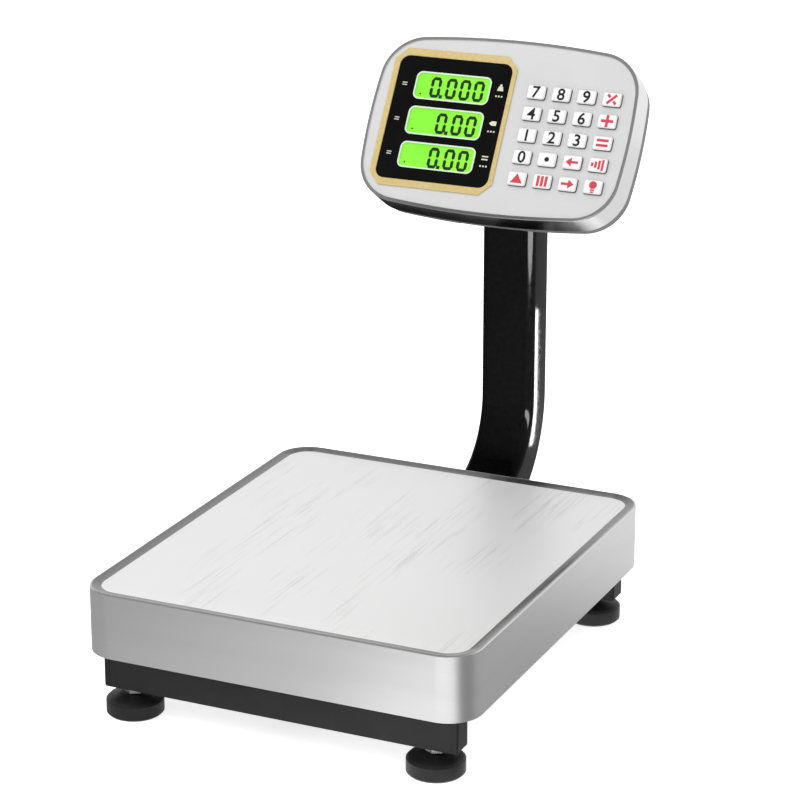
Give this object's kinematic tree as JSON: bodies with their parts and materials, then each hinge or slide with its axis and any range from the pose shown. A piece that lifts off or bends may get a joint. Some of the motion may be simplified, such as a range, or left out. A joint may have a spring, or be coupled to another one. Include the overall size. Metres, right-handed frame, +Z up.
{
  "type": "retail price scale",
  "caption": "Retail price scale: loose steel weighing pan on a footed frame with a load cell, a folding bent column and a tilting head with green displays and a keypad.",
  "frame": {"origin": "on the floor, under the middle of the whole scale's bounding box", "axes": "+Z up, +X to the right as a user faces the keypad, +Y to the rear, where the column stands"},
  "size_m": [0.3, 0.4682, 0.4185],
  "materials": {
    "stainless": "brushed lengthwise",
    "frame_paint": "satin black powder coat",
    "cap_plastic": "fine texture",
    "zinc_steel": "bright zinc",
    "cell_aluminium": "machined",
    "pad_rubber": "plain",
    "foot_rubber": "moulded, semi-matt",
    "column_gloss": "high gloss black",
    "knuckle_plastic": "fine texture",
    "face_plastic": "silver-white satin",
    "bright_band": "satin plated",
    "rear_plastic": "fine texture",
    "gold_trim": "satin gold foil",
    "window_black": "high gloss",
    "display_green": "lit from behind",
    "key_silver": "silver-white satin",
    "mat_silicone": "plain",
    "board_green": "solder mask",
    "battery_wrap": "shrink wrap",
    "switch_black": "semi-gloss",
    "socket_black": "plain"
  },
  "bodies": {
    "base": {"front_beam": "frame_paint", "rear_beam": "frame_paint", "centre_rail": "frame_paint", "beam_end_caps": "cap_plastic", "load_cell": "cell_aluminium", "cell_bolts": "zinc_steel", "overload_stops": "zinc_steel", "platform_channel": "frame_paint", "platform_crossbar_front": "frame_paint", "platform_crossbar_rear": "frame_paint", "platform_pads": "pad_rubber", "foot_lock_nuts": "zinc_steel", "fold_bracket": "frame_paint", "bracket_bolts": "zinc_steel", "pivot_bolt": "zinc_steel"},
    "pan": {"weighing_pan": "stainless"},
    "column": {"column_tube": "column_gloss", "tilt_knuckle": "knuckle_plastic"},
    "head": {"front_housing": "face_plastic", "trim_band": "bright_band", "rear_housing": "rear_plastic", "display_frame": "gold_trim", "display_window": "window_black", "weight_display": "display_green", "unit_price_display": "display_green", "total_price_display": "display_green", "circuit_board": "board_green", "keypad_mat": "mat_silicone", "battery_pack": "battery_wrap", "housing_screws": "zinc_steel", "tilt_bolt": "zinc_steel", "rear_window": "window_black", "rear_displays": "display_green", "charging_socket": "socket_black"},
    "knob": {"clamp_knob": "knuckle_plastic"},
    "rocker": {"power_rocker": "switch_black"},
    "levelling_foot_front_left": {"foot_front_left": "foot_rubber"},
    "levelling_foot_front_right": {"foot_front_right": "foot_rubber"},
    "levelling_foot_rear_left": {"foot_rear_left": "foot_rubber"},
    "levelling_foot_rear_right": {"foot_rear_right": "foot_rubber"},
    "button_01": {"key_01": "key_silver"},
    "button_02": {"key_02": "key_silver"},
    "button_03": {"key_03": "key_silver"},
    "button_04": {"key_04": "key_silver"},
    "button_05": {"key_05": "key_silver"},
    "button_06": {"key_06": "key_silver"},
    "button_07": {"key_07": "key_silver"},
    "button_08": {"key_08": "key_silver"},
    "button_09": {"key_09": "key_silver"},
    "button_10": {"key_10": "key_silver"},
    "button_11": {"key_11": "key_silver"},
    "button_12": {"key_12": "key_silver"},
    "button_13": {"key_13": "key_silver"},
    "button_14": {"key_14": "key_silver"},
    "button_15": {"key_15": "key_silver"},
    "button_16": {"key_16": "key_silver"},
    "button_17": {"key_17": "key_silver"},
    "button_18": {"key_18": "key_silver"},
    "button_19": {"key_19": "key_silver"},
    "button_20": {"key_20": "key_silver"}
  },
  "joints": [
    {"name": "pan_lift", "type": "slide", "parent": "base", "child": "pan", "axis": [0, 0, -1], "range_m": [-0.08, 0]},
    {"name": "column_fold", "type": "hinge", "parent": "base", "child": "column", "pos_m": [0, 0.13389, 0.0556], "axis": [1, 0, 0], "range_deg": [0, 75]},
    {"name": "head_tilt", "type": "hinge", "parent": "column", "child": "head", "pos_m": [0, 0.20419, 0.3235], "axis": [1, 0, 0], "range_deg": [-15, 15]},
    {"name": "clamp_knob_turn", "type": "hinge", "parent": "base", "child": "knob", "pos_m": [0, 0.13389, 0.0556], "axis": [1, 0, 0], "range_deg": [0, 360]},
    {"name": "power_switch", "type": "hinge", "parent": "head", "child": "rocker", "pos_m": [0, 0.17885, 0.29785], "axis": [1, 0, 0], "range_deg": [0, 16]},
    {"name": "foot_front_left_screw", "type": "slide", "parent": "base", "child": "levelling_foot_front_left", "axis": [0, 0, -1], "range_m": [-0.0008, 0.01]},
    {"name": "foot_front_right_screw", "type": "slide", "parent": "base", "child": "levelling_foot_front_right", "axis": [0, 0, -1], "range_m": [-0.0008, 0.01]},
    {"name": "foot_rear_left_screw", "type": "slide", "parent": "base", "child": "levelling_foot_rear_left", "axis": [0, 0, -1], "range_m": [-0.0008, 0.01]},
    {"name": "foot_rear_right_screw", "type": "slide", "parent": "base", "child": "levelling_foot_rear_right", "axis": [0, 0, -1], "range_m": [-0.0008, 0.01]},
    {"name": "key_01_press", "type": "slide", "parent": "head", "child": "button_01", "axis": [0, 0.8494, -0.5277], "range_m": [0, 0.0012], "stiffness_N_per_m": 500},
    {"name": "key_02_press", "type": "slide", "parent": "head", "child": "button_02", "axis": [0, 0.8494, -0.5277], "range_m": [0, 0.0012], "stiffness_N_per_m": 500},
    {"name": "key_03_press", "type": "slide", "parent": "head", "child": "button_03", "axis": [0, 0.8494, -0.5277], "range_m": [0, 0.0012], "stiffness_N_per_m": 500},
    {"name": "key_04_press", "type": "slide", "parent": "head", "child": "button_04", "axis": [0, 0.8494, -0.5277], "range_m": [0, 0.0012], "stiffness_N_per_m": 500},
    {"name": "key_05_press", "type": "slide", "parent": "head", "child": "button_05", "axis": [0, 0.8494, -0.5277], "range_m": [0, 0.0012], "stiffness_N_per_m": 500},
    {"name": "key_06_press", "type": "slide", "parent": "head", "child": "button_06", "axis": [0, 0.8494, -0.5277], "range_m": [0, 0.0012], "stiffness_N_per_m": 500},
    {"name": "key_07_press", "type": "slide", "parent": "head", "child": "button_07", "axis": [0, 0.8494, -0.5277], "range_m": [0, 0.0012], "stiffness_N_per_m": 500},
    {"name": "key_08_press", "type": "slide", "parent": "head", "child": "button_08", "axis": [0, 0.8494, -0.5277], "range_m": [0, 0.0012], "stiffness_N_per_m": 500},
    {"name": "key_09_press", "type": "slide", "parent": "head", "child": "button_09", "axis": [0, 0.8494, -0.5277], "range_m": [0, 0.0012], "stiffness_N_per_m": 500},
    {"name": "key_10_press", "type": "slide", "parent": "head", "child": "button_10", "axis": [0, 0.8494, -0.5277], "range_m": [0, 0.0012], "stiffness_N_per_m": 500},
    {"name": "key_11_press", "type": "slide", "parent": "head", "child": "button_11", "axis": [0, 0.8494, -0.5277], "range_m": [0, 0.0012], "stiffness_N_per_m": 500},
    {"name": "key_12_press", "type": "slide", "parent": "head", "child": "button_12", "axis": [0, 0.8494, -0.5277], "range_m": [0, 0.0012], "stiffness_N_per_m": 500},
    {"name": "key_13_press", "type": "slide", "parent": "head", "child": "button_13", "axis": [0, 0.8494, -0.5277], "range_m": [0, 0.0012], "stiffness_N_per_m": 500},
    {"name": "key_14_press", "type": "slide", "parent": "head", "child": "button_14", "axis": [0, 0.8494, -0.5277], "range_m": [0, 0.0012], "stiffness_N_per_m": 500},
    {"name": "key_15_press", "type": "slide", "parent": "head", "child": "button_15", "axis": [0, 0.8494, -0.5277], "range_m": [0, 0.0012], "stiffness_N_per_m": 500},
    {"name": "key_16_press", "type": "slide", "parent": "head", "child": "button_16", "axis": [0, 0.8494, -0.5277], "range_m": [0, 0.0012], "stiffness_N_per_m": 500},
    {"name": "key_17_press", "type": "slide", "parent": "head", "child": "button_17", "axis": [0, 0.8494, -0.5277], "range_m": [0, 0.0012], "stiffness_N_per_m": 500},
    {"name": "key_18_press", "type": "slide", "parent": "head", "child": "button_18", "axis": [0, 0.8494, -0.5277], "range_m": [0, 0.0012], "stiffness_N_per_m": 500},
    {"name": "key_19_press", "type": "slide", "parent": "head", "child": "button_19", "axis": [0, 0.8494, -0.5277], "range_m": [0, 0.0012], "stiffness_N_per_m": 500},
    {"name": "key_20_press", "type": "slide", "parent": "head", "child": "button_20", "axis": [0, 0.8494, -0.5277], "range_m": [0, 0.0012], "stiffness_N_per_m": 500}
  ]
}
